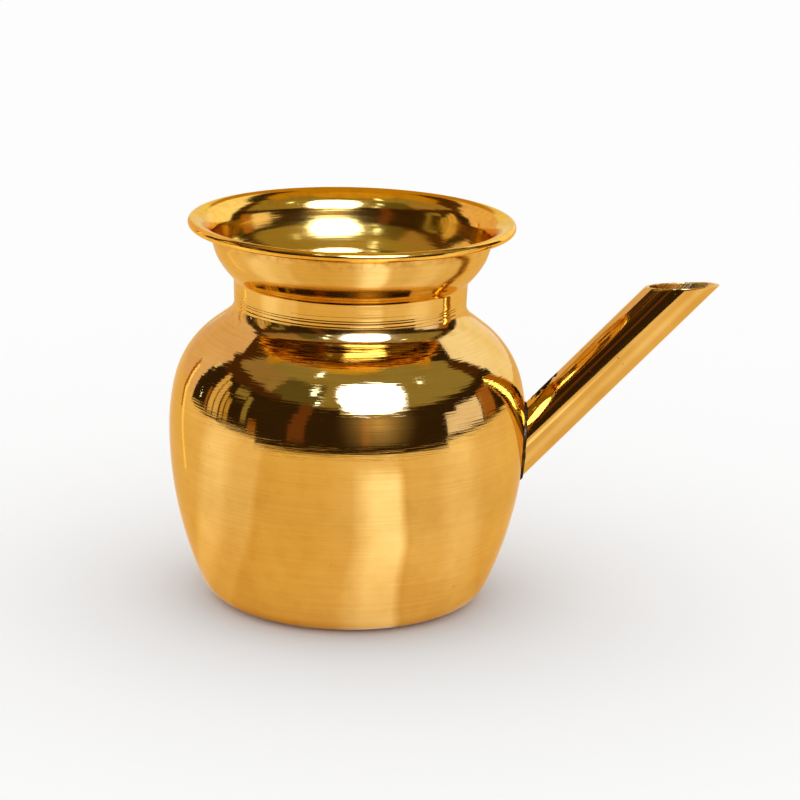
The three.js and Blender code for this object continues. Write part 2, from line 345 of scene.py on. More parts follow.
# %% Ring of brazing metal in the seam
def on_upper_wall(angle):
    reach = UPPER_WALL_RADIUS
    return BELLY_RADIUS - reach + reach * cos(angle), BELLY_HEIGHT + reach * sin(angle)


ring_line = SheetLine(*on_upper_wall(seam_angle), seam_angle)
ring_line.bend_from_edge(UPPER_WALL_RADIUS, seam_angle + (seam_top_angle - seam_angle) / 2)
ring_line.bend_to_edge(UPPER_WALL_RADIUS, seam_top_angle)
ring_skin = turned(ring_line)
thicken(ring_skin, SHEET)
seam_ring = finish_piece(ring_skin, "seam_ring", "girth_braze")

# %% Shoulder, cone and collar
shoulder_line = SheetLine(*on_upper_wall(seam_top_angle), seam_top_angle)
shoulder_line.bend_from_edge(UPPER_WALL_RADIUS, UPPER_WALL_TURN)
shoulder_line.bend(shoulder_radius, SHOULDER_SLOPE)
shoulder_line.straight(CONE_LENGTH)
shoulder_line.bend(-COLLAR_BEND, 0)
shoulder_line.straight(LAP)
shoulder_skin = turned(shoulder_line)
thicken(shoulder_skin, SHEET)
spun_shoulder = finish_piece(shoulder_skin, "spun_shoulder", "upper_shoulder")

# %% [markdown]
# ## Neck, flare and curled rim
# One more sheet makes the neck. It leans out a little, bends into a bowl-shaped flare, and opens like a
# trumpet into the lip, whose edge is curled under so that it is stiff and doesn't cut. Single arcs would do
# for the shape, but the mirror images show where the wall turns faster. So the bend under the flare is
# tight at first and then wide, and the flare has a faint ridge between two wide arcs. Both end where the
# solid's own arcs do, and the radii that aren't chosen follow from that. The fine lines that were scribed
# round the neck's foot, deeper towards the shoulder, are grooves in the drawn line.

# %% Two arcs for the bend under the flare
CORNER_RADIUS = 1.1 * MM
CORNER_TILT = radians(28)


def bend_out(radius, tilt_from, tilt_to):
    return radius * (cos(tilt_from) - cos(tilt_to))


def bend_up(radius, tilt_from, tilt_to):
    return radius * (sin(tilt_to) - sin(tilt_from))


bend_reach = bend_out(NECK_BEND, NECK_TILT, FLARE_FOOT_TILT)
wide_reach = bend_reach - bend_out(CORNER_RADIUS, NECK_TILT, CORNER_TILT)
wide_radius = wide_reach / bend_out(1, CORNER_TILT, FLARE_FOOT_TILT)
corner_up = bend_up(CORNER_RADIUS, NECK_TILT, CORNER_TILT)
bend_rise = corner_up + bend_up(wide_radius, CORNER_TILT, FLARE_FOOT_TILT)
neck_rise = NECK_HEIGHT + bend_up(NECK_BEND, NECK_TILT, FLARE_FOOT_TILT) - bend_rise
print("wide arc and straight neck in mm:", in_mm(wide_radius, neck_rise))

# %% Three arcs for the flare
RIDGE_RADIUS = 4 * MM
RIDGE_FOOT_TILT = radians(27)
RIDGE_TOP_TILT = radians(21)

flare_tilts = FLARE_TOP_TILT, FLARE_FOOT_TILT
ridge_tilts = RIDGE_TOP_TILT, RIDGE_FOOT_TILT
low_tilts = RIDGE_FOOT_TILT, FLARE_FOOT_TILT
high_tilts = FLARE_TOP_TILT, RIDGE_TOP_TILT
wide_arcs = Vector(
    [way(FLARE_RADIUS, *flare_tilts) - way(RIDGE_RADIUS, *ridge_tilts) for way in (bend_out, bend_up)]
)
arc_shares = Matrix(
    [[way(1, *tilts) for tilts in (low_tilts, high_tilts)] for way in (bend_out, bend_up)]
)
low_flare, high_flare = arc_shares.inverted() @ wide_arcs
print("wide arcs of the flare in mm:", in_mm(low_flare, high_flare))

# %% Draw and turn the neck
GROOVE_WIDTH = 0.34 * MM
GROOVES = [  # height above the crease, depth
    (3.1 * MM, 0.07 * MM),
    (4.2 * MM, 0.06 * MM),
    (4.9 * MM, 0.055 * MM),
    (6.3 * MM, 0.03 * MM),
    (7.0 * MM, 0.02 * MM),
]

neck_line = SheetLine(NECK_RADIUS, crease_height, -NECK_TILT)
drawn_height = 0
for groove_height, groove_depth in GROOVES:
    groove_foot = groove_height - GROOVE_WIDTH / 2
    neck_line.straight(groove_foot - drawn_height)
    neck_line.straight(GROOVE_WIDTH / 2, inset=groove_depth)
    neck_line.straight(GROOVE_WIDTH / 2, inset=-groove_depth)
    drawn_height = groove_foot + GROOVE_WIDTH
neck_line.straight(neck_rise / cos(NECK_TILT) - drawn_height - CHORD_SAG)
neck_line.bend(-CORNER_RADIUS, -CORNER_TILT)
neck_line.bend(-wide_radius, -FLARE_FOOT_TILT)
neck_line.bend(low_flare, -RIDGE_FOOT_TILT)
neck_line.bend(RIDGE_RADIUS, -RIDGE_TOP_TILT)
neck_line.bend(high_flare, -FLARE_TOP_TILT)
neck_line.bend(-LIP_RADIUS, -LIP_EDGE_TILT)
neck_line.bend(-CURL_CORE_RADIUS, -LIP_EDGE_TILT - CURL_TURN)
neck_skin = turned(neck_line)
thicken(neck_skin, SHEET)
flared_neck = finish_piece(neck_skin, "flared_neck", "neck_and_rim")

# %% [markdown]
# ## Fillet in the crease
# Brazing metal that ran round the foot of the neck left a hollow fillet, scraped tighter towards the neck.
# Its section is a wide arc that leaves the cone and a tighter one that runs onto the neck. Where it has to
# start on the cone follows from how far the two arcs reach together.

# %% Turn the fillet
FILLET_LOWER_RADIUS = 7 * MM
FILLET_UPPER_RADIUS = 4 * MM
FILLET_CHANGE = radians(18)
FILLET_SHEET = SHEET / 3


def reach_to_neck(radius, angle_from, angle_to):
    """How far a hollow arc comes nearer to the neck's wall."""
    return radius * (cos(angle_to + NECK_TILT) - cos(angle_from + NECK_TILT))


fillet_reach = reach_to_neck(FILLET_LOWER_RADIUS, SHOULDER_SLOPE, FILLET_CHANGE)
fillet_reach += reach_to_neck(FILLET_UPPER_RADIUS, FILLET_CHANGE, -NECK_TILT)
fillet_leg = fillet_reach / sin(SHOULDER_SLOPE + NECK_TILT)
fillet_radius = NECK_RADIUS + fillet_leg * sin(SHOULDER_SLOPE)
fillet_height = crease_height - fillet_leg * cos(SHOULDER_SLOPE)
fillet_line = SheetLine(fillet_radius, fillet_height, SHOULDER_SLOPE)
fillet_line.bend(-FILLET_LOWER_RADIUS, FILLET_CHANGE)
fillet_line.bend(-FILLET_UPPER_RADIUS, -NECK_TILT)
fillet_skin = turned(fillet_line)
thicken(fillet_skin, FILLET_SHEET)
neck_fillet = finish_piece(fillet_skin, "neck_fillet", "neck_braze")

# %% [markdown]
# ## Spout
# The spout is plain pipe. It starts here as a circle that is extruded and given its wall while it is still
# square at both ends. Then every vertex of one end slides along the pipe onto the belly, and every vertex
# of the other end onto the saw cut at the mouth. The cut was trued with a file by hand, so it dips a little
# here and there and its edges are broken.

# %% Square pipe
SPOUT_SIDES = 128

pipe = bmesh.new()
bmesh.ops.create_circle(pipe, segments=SPOUT_SIDES, radius=spout_radius)
raised = bmesh.ops.extrude_edge_only(pipe, edges=pipe.edges[:])["geom"]
top_ring = [part for part in raised if isinstance(part, bmesh.types.BMVert)]
bmesh.ops.translate(pipe, verts=top_ring, vec=(0, 0, SPOUT_LENGTH))
bmesh.ops.recalc_face_normals(pipe, faces=pipe.faces)
side = pipe.faces[0]
if side.normal.dot(Vector((*side.calc_center_median().xy, 0))) < 0:
    bmesh.ops.reverse_faces(pipe, faces=pipe.faces)
thicken(pipe, SPOUT_WALL)
mouth_ring = [vert for vert in pipe.verts if vert.co.z > SPOUT_LENGTH / 2]
foot_ring = [vert for vert in pipe.verts if vert.co.z < SPOUT_LENGTH / 2]
bmesh.ops.transform(pipe, matrix=spout_frame, verts=pipe.verts)
print("a square pipe with", len(foot_ring), "vertices at its foot and", len(mouth_ring), "at its mouth")

# %% Saddle foot and filed mouth
FILE_DIP = 0.4 * MM
FILE_WAVE = 3.2 * MM  # length of the dips along the edge
FILE_NICK = 0.16 * MM
NICK_WAVE = 0.9 * MM
FILE_LEAN = radians(5.5)  # of the filed mouth, higher at the front
FILE_RISE = radians(1.2)  # and towards its tip

mouth_rise = MOUTH_TILT + FILE_RISE
mouth_normal = Vector((-sin(mouth_rise), sin(FILE_LEAN), cos(mouth_rise))).normalized()
for vert in foot_ring:
    vert.co = onto_belly(vert.co)
for vert in mouth_ring:
    to_cut = (spout_mouth - vert.co).dot(mouth_normal) / spout_axis.dot(mouth_normal)
    dip = FILE_DIP * (0.5 + 0.5 * noise.noise(vert.co / FILE_WAVE))
    nick = FILE_NICK * max(0, noise.noise(vert.co / NICK_WAVE))
    vert.co += (to_cut - dip - nick) * spout_axis
print("top of the mouth in mm:", in_mm(max(vert.co.z for vert in mouth_ring)))

# %% Break the mouth's edges
# A ring cut in just below keeps the pipe's shading true, so only the broken edge looks rounded.
BROKEN_EDGE = 0.25 * MM
RING_DROP = 3 * FILE_DIP

bmesh.ops.bisect_plane(
    pipe,
    geom=pipe.verts[:] + pipe.edges[:] + pipe.faces[:],
    plane_co=spout_mouth - RING_DROP * spout_axis,
    plane_no=mouth_normal,
)
in_mouth = set(mouth_ring)
mouth_edges = [
    edge
    for edge in pipe.edges
    if in_mouth.issuperset(edge.verts) and edge.calc_face_angle(0) > SHARP_ANGLE
]
bmesh.ops.bevel(
    pipe, geom=mouth_edges, offset=BROKEN_EDGE, segments=2, profile=0.5, affect="EDGES", material=-1
)
pipe_spout = finish_piece(pipe, "pipe_spout", "spout_tube")

# %% [markdown]
# ## Solder bead
# Soft solder was run round the spout's foot with an iron. It has gone dark, and it is a little lumpy. A
# small circle is spun about the pipe's axis into a ring, and then each vertex is carried over to the saddle
# line, nearer or further by a slow noise that makes the lumps.

# %% Bead on the saddle line
BEAD_RADIUS = 0.68 * MM
BEAD_SIDES = 20
BEAD_LUMPS = 0.4  # share of the radius
LUMP_LENGTH = 2.4 * MM
SMALL_TURN = 0.01

bead = bmesh.new()
ring_place = Matrix.Translation((spout_radius, 0, 0)) @ Matrix.Rotation(QUARTER_TURN, 4, "X")
bmesh.ops.create_circle(bead, segments=BEAD_SIDES, radius=BEAD_RADIUS, matrix=ring_place)
spin_round(bead)


def saddle_at(around):
    on_pipe = Vector((spout_radius * cos(around), spout_radius * sin(around), 0))
    return onto_belly(spout_frame @ on_pipe)


for vert in bead.verts:
    around = atan2(vert.co.y, vert.co.x)
    out, up = vert.co.xy.length - spout_radius, vert.co.z
    center = saddle_at(around)
    ahead = (saddle_at(around + SMALL_TURN) - saddle_at(around - SMALL_TURN)).normalized()
    outward = spout_frame.to_3x3() @ Vector((cos(around), sin(around), 0))
    across = outward.cross(ahead)
    size = 1 + BEAD_LUMPS * noise.noise((center + out * outward + up * across) / LUMP_LENGTH)
    vert.co = center + size * (out * outward + up * across)
bmesh.ops.recalc_face_normals(bead, faces=bead.faces)
solder_bead = finish_piece(bead, "solder_bead", "spout_solder")

# %% [markdown]
# ## Polished brass
# The pot was polished on the lathe, so its fine lines run round it and its wall waves very slightly, which
# frays the edges of everything it mirrors. A picture of scratches would show a seam, so noise makes them.
# Heights in metres go into one Bump node: broad waves from the spinning, rings from the polishing, and
# hairlines. The noise is squeezed along the wall and long round the pot, by the distance that each vertex
# keeps. Colour and roughness change with faint tarnish and specks. The insides are yellower and duller,
# because light goes to and fro there and no wheel reaches the wall.

# %% Node helpers
def feed(tree, socket, value):
    """Link a socket to another one, or set it to a constant."""
    if isinstance(value, bpy.types.NodeSocket):
        tree.links.new(value, socket)
    else:
        socket.default_value = value


def feed_all(tree, sockets, values):
    for socket, value in zip(sockets, values):
        feed(tree, socket, value)


def set_inputs(tree, node, **inputs):
    """Feed a node's inputs by name, with an underscore for each space."""
    for name, value in inputs.items():
        feed(tree, node.inputs[name.replace("_", " ")], value)


def add_node(tree, kind, **inputs):
    node = tree.nodes.new(kind)
    set_inputs(tree, node, **inputs)
    return node


def worked_out(tree, kind, operation, values):
    """The outputs of a node that works something out from the values."""
    node = tree.nodes.new(kind)
    node.operation = operation
    feed_all(tree, node.inputs, values)
    return node.outputs


# %% Short ways to common nodes
def math_node(tree, operation, *values):
    return worked_out(tree, "ShaderNodeMath", operation, values)["Value"]


def vector_node(tree, operation, *values):
    return worked_out(tree, "ShaderNodeVectorMath", operation, values)


def times(tree, value, other):
    return math_node(tree, "MULTIPLY", value, other)


def plus(tree, value, other):
    return math_node(tree, "ADD", value, other)


def mapped(tree, value, low, high, new_low, new_high):
    """One range of values laid onto another and held at its ends."""
    ends = {"From_Min": low, "From_Max": high, "To_Min": new_low, "To_Max": new_high}
    return add_node(tree, "ShaderNodeMapRange", Value=value, **ends).outputs["Result"]


def tinted(tree, share, color_a, color_b):
    node = tree.nodes.new("ShaderNodeMix")
    node.data_type = "RGBA"
    tree.links.new(share, node.inputs["Factor"])
    color_sockets = [socket for socket in node.inputs if socket.type == "RGBA"]
    feed_all(tree, color_sockets, (color_a, color_b))
    return next(socket for socket in node.outputs if socket.type == "RGBA")


def length_of(tree, vector):
    return vector_node(tree, "LENGTH", vector)["Value"]


def object_place(tree):
    return tree.nodes.new("ShaderNodeTexCoord").outputs["Object"]


# %% Noise that follows the lathe, and noise in spots
def noise_at(tree, place, scale=1.0, detail=2):
    return add_node(tree, "ShaderNodeTexNoise", Vector=place, Scale=scale, Detail=detail).outputs["Fac"]


def ring_noise(tree, spacing, reach, detail=2):
    """Noise with rings a spacing apart along the wall, which fade out over a reach round the pot."""
    along = tree.nodes.new("ShaderNodeAttribute")
    along.attribute_name = "along"
    ring_share = math_node(tree, "DIVIDE", along.outputs["Fac"], spacing)
    rings = add_node(tree, "ShaderNodeCombineXYZ", Z=ring_share).outputs[0]
    squeezed = vector_node(tree, "MULTIPLY_ADD", object_place(tree), (1 / reach, 1 / reach, 0), rings)
    return noise_at(tree, squeezed["Vector"], detail=detail)


def spot_noise(tree, size, detail=3):
    return noise_at(tree, object_place(tree), 1 / size, detail)


# %% A metal
GRAZING_TINT = (0.92, 0.78, 0.5, 1)


def bare_material(name):
    """A material without a shader, its node tree and the socket that a shader goes into."""
    material = bpy.data.materials.new(name)
    material.use_nodes = True
    tree = material.node_tree
    tree.nodes.clear()
    return material, tree, tree.nodes.new("ShaderNodeOutputMaterial").inputs["Surface"]


def new_material(name):
    """A material with one Principled shader, its node tree and that shader."""
    material, tree, surface = bare_material(name)
    shader = tree.nodes.new("ShaderNodeBsdfPrincipled")
    tree.links.new(shader.outputs["BSDF"], surface)
    return material, tree, shader


def make_metal(tree, shader, color, roughness, height, grazing_tint=GRAZING_TINT):
    bump = add_node(tree, "ShaderNodeBump", Height=height, Strength=1.0, Distance=1.0)
    set_inputs(tree, shader, Base_Color=color, Roughness=roughness, Normal=bump.outputs["Normal"])
    set_inputs(tree, shader, Metallic=1.0, Specular_Tint=grazing_tint)


# %% Lathe marks and tarnish
BRASS = (0.84, 0.55, 0.14, 1)
TARNISHED = (0.68, 0.39, 0.075, 1)
SPECK = (0.3, 0.13, 0.03, 1)
WAVES = (5 * MM, 45 * MM)  # spacing along the wall and reach round the pot, as in the next ones
RINGS = (0.8 * MM, 40 * MM)
SCRATCHES = (0.16 * MM, 14 * MM)
TARNISH_LINES = (0.35 * MM, 30 * MM)
GLOSS_RINGS = (0.5 * MM, 30 * MM)
SCRATCH_SHARE = (0.52, 0.8, 0.0, 1.0)  # noise from and to, and the shares that they give
PATCH_SHARE = (0.42, 0.75, 0.0, 0.5)
LINE_SHARE = (0.3, 0.75, 0.0, 0.4)
MOTTLE_SHARE = (0.48, 0.66, 0.0, 0.18)
SPECK_SHARE = (0.79, 0.83, 0.0, 0.7)
MOST_NOISE = (0.3, 0.7)
PATCH_SIZE = 22 * MM
MOTTLE_SIZE = 5 * MM
SPECK_SIZE = 1.1 * MM


def lathe_marks(tree, wave_height, ring_height, hairline_depth):
    """One height made of broad waves, rings and hairlines, by their own heights in metres."""
    waves = times(tree, ring_noise(tree, *WAVES), wave_height)
    rings = times(tree, ring_noise(tree, *RINGS, detail=1), ring_height)
    scratches = mapped(tree, ring_noise(tree, *SCRATCHES), *SCRATCH_SHARE)
    hairlines = times(tree, scratches, -hairline_depth)
    return plus(tree, plus(tree, waves, rings), hairlines)


def worn_color(tree, brass, tarnished):
    """Brass with faint tarnish in patches and along the lathe marks, and a few specks."""
    tarnish = mapped(tree, spot_noise(tree, PATCH_SIZE), *PATCH_SHARE)
    lines = mapped(tree, ring_noise(tree, *TARNISH_LINES), *LINE_SHARE)
    mottle = mapped(tree, spot_noise(tree, MOTTLE_SIZE, detail=5), *MOTTLE_SHARE)
    dulled = plus(tree, plus(tree, tarnish, lines), mottle)
    specks = mapped(tree, spot_noise(tree, SPECK_SIZE, detail=1), *SPECK_SHARE)
    return tinted(tree, specks, tinted(tree, dulled, brass, tarnished), SPECK)


# %% Polished brass of the spun pieces
STAIN = (0.3, 0.14, 0.04, 1)
STAIN_HEIGHTS = (111 * MM, 117 * MM)
BLOT_SIZE = 2.6 * MM
BLOT_NOISE = (0.46, 0.64)


def polished_brass(name, marks, roughness, colors=(BRASS, TARNISHED), satin=None, stain_share=0):
    """Brass from the lathe. A satin changes its gloss with the height and adds stains under the rim."""
    material, tree, shader = new_material(name)
    color = worn_color(tree, *colors)
    gloss = mapped(tree, ring_noise(tree, *GLOSS_RINGS), *MOST_NOISE, *roughness)
    if satin:
        height = add_node(tree, "ShaderNodeSeparateXYZ", Vector=object_place(tree)).outputs["Z"]
        gloss = plus(tree, gloss, mapped(tree, height, *satin))
        under_rim = mapped(tree, height, *STAIN_HEIGHTS, 0.0, 1.0)
        blots = mapped(tree, spot_noise(tree, BLOT_SIZE), *BLOT_NOISE, 0.0, stain_share)
        color = tinted(tree, times(tree, under_rim, blots), color, STAIN)
    make_metal(tree, shader, color, gloss, lathe_marks(tree, *marks))
    return material


# %% [markdown]
# ## Pipe, brazing metal and solder
# The pipe was drawn through a die, so its fine streaks run lengthwise. A Mapping node lays the noise out by
# the pipe's own directions. The bore and the cut ends are rougher. Their colour is paler, as filed metal is,
# and in the bore it is also painted lighter against the shade inside the pipe. On the pipe's upper side,
# close above the joint, the pipe mirrors something dark: that is a painted reflection, a dull dark patch
# whose ragged outline is a soft oval with noise added. Brazing metal is brass again with fine file marks,
# and soft solder is dark, patchy and grainy.

# %% Brass of the pipe
# painted reflection: the dark tone of a patch on the pipe's upper side, where the pipe mirrors something
# dark
PAINTED_REFLECTION_DARK = (0.012, 0.006, 0.003, 1)
REFLECTION_PATCH_SIZES = (2.9 * MM, 2.9 * MM, 7.5 * MM)  # across and along the pipe
REFLECTION_PATCH_OVAL = (0.3, 1.2, 0.75, 0.3)
REFLECTION_PATCH_EDGE = (1.02, 1.06, 0.0, 1.0)
REFLECTION_PATCH_ROUGHNESS = 0.8
REFLECTION_PATCH_GRAIN = 1.6 * MM
REFLECTION_PATCH_DISTANCE = 16.5 * MM  # along the pipe from its foot
DRAWN_SIZES = (0.5 * MM, 0.5 * MM, 30 * MM)
DENT_SIZE = 7 * MM
DENT_HEIGHT = 14e-6
PIPE_PATCH = 14 * MM
PIPE_SPECK = 0.9 * MM
PIPE_TARNISH = (0.35, 0.7, 0.3, 0.8)
PIPE_SPECKS = (0.75, 0.8, 0.0, 0.7)
reflection_patch_place = spout_frame @ Vector((-spout_radius, 0, REFLECTION_PATCH_DISTANCE))


def in_pipe(tree, origin, sizes):
    """A place by the pipe's own directions, Z along it, from an origin and as a share of the sizes."""
    node = add_node(tree, "ShaderNodeMapping", Vector=object_place(tree))
    node.vector_type = "TEXTURE"
    set_inputs(tree, node, Location=origin, Rotation=(0, QUARTER_TURN - SPOUT_RISE, 0), Scale=sizes)
    return node.outputs["Vector"]


def spout_brass(name, streak_height, roughness, brass, tarnished):
    material, tree, shader = new_material(name)
    drawn = noise_at(tree, in_pipe(tree, spout_foot, DRAWN_SIZES))
    streaks = times(tree, drawn, streak_height)
    dents = times(tree, spot_noise(tree, DENT_SIZE, detail=1), DENT_HEIGHT)
    tarnish = mapped(tree, spot_noise(tree, PIPE_PATCH), *PIPE_TARNISH)
    specks = mapped(tree, spot_noise(tree, PIPE_SPECK, detail=1), *PIPE_SPECKS)
    # the patch of painted reflection: a soft oval on the pipe's upper side with a ragged edge, dark and dull
    near_reflection_patch = mapped(tree, length_of(tree, in_pipe(tree, reflection_patch_place, REFLECTION_PATCH_SIZES)), *REFLECTION_PATCH_OVAL)
    ragged = plus(tree, near_reflection_patch, spot_noise(tree, REFLECTION_PATCH_GRAIN))
    painted_reflection = mapped(tree, ragged, *REFLECTION_PATCH_EDGE)
    specked = tinted(tree, specks, tinted(tree, tarnish, brass, tarnished), SPECK)
    gloss = mapped(tree, drawn, *MOST_NOISE, *roughness)
    dulled = math_node(tree, "MAXIMUM", gloss, times(tree, painted_reflection, REFLECTION_PATCH_ROUGHNESS))
    height = plus(tree, streaks, dents)
    make_metal(tree, shader, tinted(tree, painted_reflection, specked, PAINTED_REFLECTION_DARK), dulled, height)
    return material


# %% Brazing metal and dark soft solder
FILE_MARKS = (0.5 * MM, 6 * MM)
FILE_MARK_HEIGHT = 4e-6
BRAZE_PATCH = 6 * MM
BRAZE_GLOSS = 3 * MM
BRAZE_TARNISH = (0.35, 0.7, 0.0, 0.7)
BRAZE_ROUGHNESS = (0.08, 0.18)
SOLDER_DARK = (0.022, 0.014, 0.005, 1)
SOLDER_GREY = (0.12, 0.078, 0.026, 1)
SOLDER_GRAZING_TINT = (0.5, 0.4, 0.2, 1)
SOLDER_PATCH = 2.2 * MM
GRAIN_SIZE = 0.5 * MM
GRAIN_HEIGHT = 60e-6
SHINE_SHARE = (0.42, 0.68, 0.0, 1.0)
SOLDER_ROUGHNESS = (0.35, 0.7, 0.65, 0.35)


def brazing_brass():
    material, tree, shader = new_material("brazing_brass")
    marks = times(tree, ring_noise(tree, *FILE_MARKS), FILE_MARK_HEIGHT)
    color = tinted(tree, mapped(tree, spot_noise(tree, BRAZE_PATCH), *BRAZE_TARNISH), BRASS, TARNISHED)
    gloss = mapped(tree, spot_noise(tree, BRAZE_GLOSS), *MOST_NOISE, *BRAZE_ROUGHNESS)
    make_metal(tree, shader, color, gloss, marks)
    return material


def soft_solder():
    material, tree, shader = new_material("soft_solder")
    patches = spot_noise(tree, SOLDER_PATCH)
    grain = times(tree, spot_noise(tree, GRAIN_SIZE), GRAIN_HEIGHT)
    color = tinted(tree, mapped(tree, patches, *SHINE_SHARE), SOLDER_DARK, SOLDER_GREY)
    gloss = mapped(tree, patches, *SOLDER_ROUGHNESS)
    make_metal(tree, shader, color, gloss, grain, SOLDER_GRAZING_TINT)
    return material


# %% Give each piece its finish
INSIDE_COLORS = ((0.95, 0.57, 0.085, 1), (0.84, 0.45, 0.05, 1))  # brass and tarnish, near the rim
DEEP_COLORS = ((0.92, 0.66, 0.23, 1), (0.8, 0.52, 0.15, 1))
# paler like fresh filed metal at the cut ends, and painted lighter in the bore, against the shade inside the
# pipe
FILED_BRASS_PAINTED_LIGHTER = (0.95, 0.68, 0.18, 1)
DRAWN_STREAKS = 2.2e-6
FILED_STREAKS = 24e-6
INSIDE_MARKS = (24e-6, 30e-6, 4e-6)  # heights of waves, rings and hairlines
BEND_TOP = crease_height + NECK_HEIGHT + NECK_BEND * sin(FLARE_FOOT_TILT)
FLARE_SATIN = (BEND_TOP + 1 * MM, BEND_TOP + 5 * MM, 0.0, 0.09)  # heights, and what roughness they add
LIP_SATIN = (111 * MM, 115 * MM, 0.0, -0.05)

bowl_brass = polished_brass("bowl_brass", marks=(12e-6, 14e-6, 4e-6), roughness=(0.03, 0.09))
shoulder_brass = polished_brass("shoulder_brass", marks=(20e-6, 32e-6, 4e-6), roughness=(0.02, 0.07))
inside_brass = polished_brass("inside_brass", INSIDE_MARKS, roughness=(0.07, 0.15), colors=DEEP_COLORS)
neck_outside = polished_brass(
    "neck_brass", marks=(8e-6, 12e-6, 4e-6), roughness=(0.03, 0.08), satin=FLARE_SATIN, stain_share=0.6
)
neck_inside = polished_brass(
    "neck_inside_brass", INSIDE_MARKS, (0.12, 0.19), INSIDE_COLORS, satin=LIP_SATIN, stain_share=0.15
)
brazed = brazing_brass()
finishes = {
    spun_bowl: [bowl_brass, inside_brass],
    spun_shoulder: [shoulder_brass, inside_brass],
    flared_neck: [neck_outside, neck_inside],
    seam_ring: [bowl_brass, inside_brass],
    neck_fillet: [brazed, brazed],
    pipe_spout: [
        spout_brass("spout_brass", DRAWN_STREAKS, (0.04, 0.12), BRASS, TARNISHED),
        # bore and cut ends: filed metal, and painted light inside the bore
        spout_brass("filed_brass_painted_lighter", FILED_STREAKS, (0.2, 0.36), FILED_BRASS_PAINTED_LIGHTER, BRASS),
    ],
    solder_bead: [soft_solder()],
}
for piece, materials in finishes.items():
    for material in materials:
        piece.data.materials.append(material)
    print(piece.name, "is finished in", [material.name for material in materials])

# %% [markdown]
# ## Room and table
# Polished metal looks like what is around it, so the studio is half of the picture. The pot stands on a
# pale table in an evenly white room, which gives it a soft shadow and no hard one. The lower belly mirrors
# nothing but that table. Lamps could brighten it, but they would change it for the camera too. So the table
# itself shines in fans of light round the pot, and only for rays that come straight from the metal.

# %% White room and pale table
TABLE_WIDTH = 8.0
world = bpy.data.worlds.new("white_room")
world.use_nodes = True
room = world.node_tree.nodes["Background"]
room.inputs["Color"].default_value = (1, 1, 1, 1)
room.inputs["Strength"].default_value = 1.0
bpy.context.scene.world = world
bpy.context.scene.view_settings.view_transform = "Standard"

table_shape = bmesh.new()
bmesh.ops.create_grid(table_shape, x_segments=1, y_segments=1, size=TABLE_WIDTH / 2)
table = as_object(table_shape, "table")
print("a table of", [round(side, 1) for side in table.dimensions.xy], "metres")

# %% Bearing and distance on the table
TABLE_WHITE = (0.985, 0.985, 0.985, 1)
# painted reflection: the warm tone that the metal mirrors in the table, while the camera sees the table
# white
PAINTED_TABLE_REFLECTION = (0.9, 0.67, 0.37, 1)
SWERVE = (0.05, 0.09, 0.12, 0.0)  # distances, and the turn that the fans take near the pot

table_paint, table_tree, table_shader = new_material("table_laminate")
ray = table_tree.nodes.new("ShaderNodeLightPath")
table_white_with_painted_reflection = tinted(table_tree, ray.outputs["Is Glossy Ray"], TABLE_WHITE, PAINTED_TABLE_REFLECTION)
set_inputs(table_tree, table_shader, Base_Color=table_white_with_painted_reflection, Roughness=1.0, Specular_IOR_Level=0.0)
table_place = object_place(table_tree)
table_axes = add_node(table_tree, "ShaderNodeSeparateXYZ", Vector=table_place)
axis_distance = length_of(table_tree, table_place)
front = times(table_tree, table_axes.outputs["Y"], -1.0)


def by_distance(*ends):
    return mapped(table_tree, axis_distance, *ends)


straight_bearing = math_node(table_tree, "ARCTAN2", table_axes.outputs["X"], front)
bearing = plus(table_tree, straight_bearing, by_distance(*SWERVE))


def sheen(left, right, left_fade, right_fade, strength):
    """A fan of light between two bearings in degrees, with soft sides."""
    rise_sides = radians(left - left_fade), radians(left + left_fade)
    fall_sides = radians(right - right_fade), radians(right + right_fade)
    rise = mapped(table_tree, bearing, *rise_sides, 0.0, strength)
    fall = mapped(table_tree, bearing, *fall_sides, 1.0, 0.0)
    return times(table_tree, rise, fall)


# %% Sheen that only the metal sees
SHEEN_COOL = (0.75, 1.0, 1.8, 1)
NEAR_WARM = (1.0, 0.74, 0.42, 1)
FRONT_FAN = (9, 30.5, 6, 2.5, 0.8)  # left and right bearing, softness of both, strength
FRONT_REACH = (0.2, 0.3, 1.0, 0.25)  # distances and shares, as in the next two
CLEAR_OF_POT = (0.055, 0.09, 0.55, 1.0)
NEAR_POT = (0.055, 0.12, 0.22, 0.0)
SIDE_FANS = [
    (-6, 9, 8, 6, 0.1),
    (-160, -93, 5, 5, 0.12),
    (-93, -72, 5, 5, 0.38),
    (-72, -51, 5, 2, 0.18),
    (33, 150, 3, 8, 0.13),
    (56, 80, 6, 6, 0.2),
]
FAINTEST = 0.001  # keeps the division below from zero
HALF_BOUNCE = 0.5  # a count below this means no diffuse bounce yet

table_light = times(table_tree, sheen(*FRONT_FAN), by_distance(*FRONT_REACH))
for fan in SIDE_FANS:
    table_light = plus(table_tree, table_light, sheen(*fan))
table_light = times(table_tree, table_light, by_distance(*CLEAR_OF_POT))
near_light = by_distance(*NEAR_POT)
both_lights = plus(table_tree, table_light, near_light)
all_light = plus(table_tree, both_lights, FAINTEST)
cool_share = math_node(table_tree, "DIVIDE", table_light, all_light)
first_sight = math_node(table_tree, "LESS_THAN", ray.outputs["Diffuse Depth"], HALF_BOUNCE)
mirrored = times(table_tree, ray.outputs["Is Glossy Ray"], first_sight)
set_inputs(
    table_tree,
    table_shader,
    Emission_Color=tinted(table_tree, cool_share, NEAR_WARM, SHEEN_COOL),
    Emission_Strength=times(table_tree, all_light, mirrored),
)
table.data.materials.append(table_paint)
print("the table shines in", 1 + len(SIDE_FANS), "fans, with", len(table_tree.nodes), "nodes")

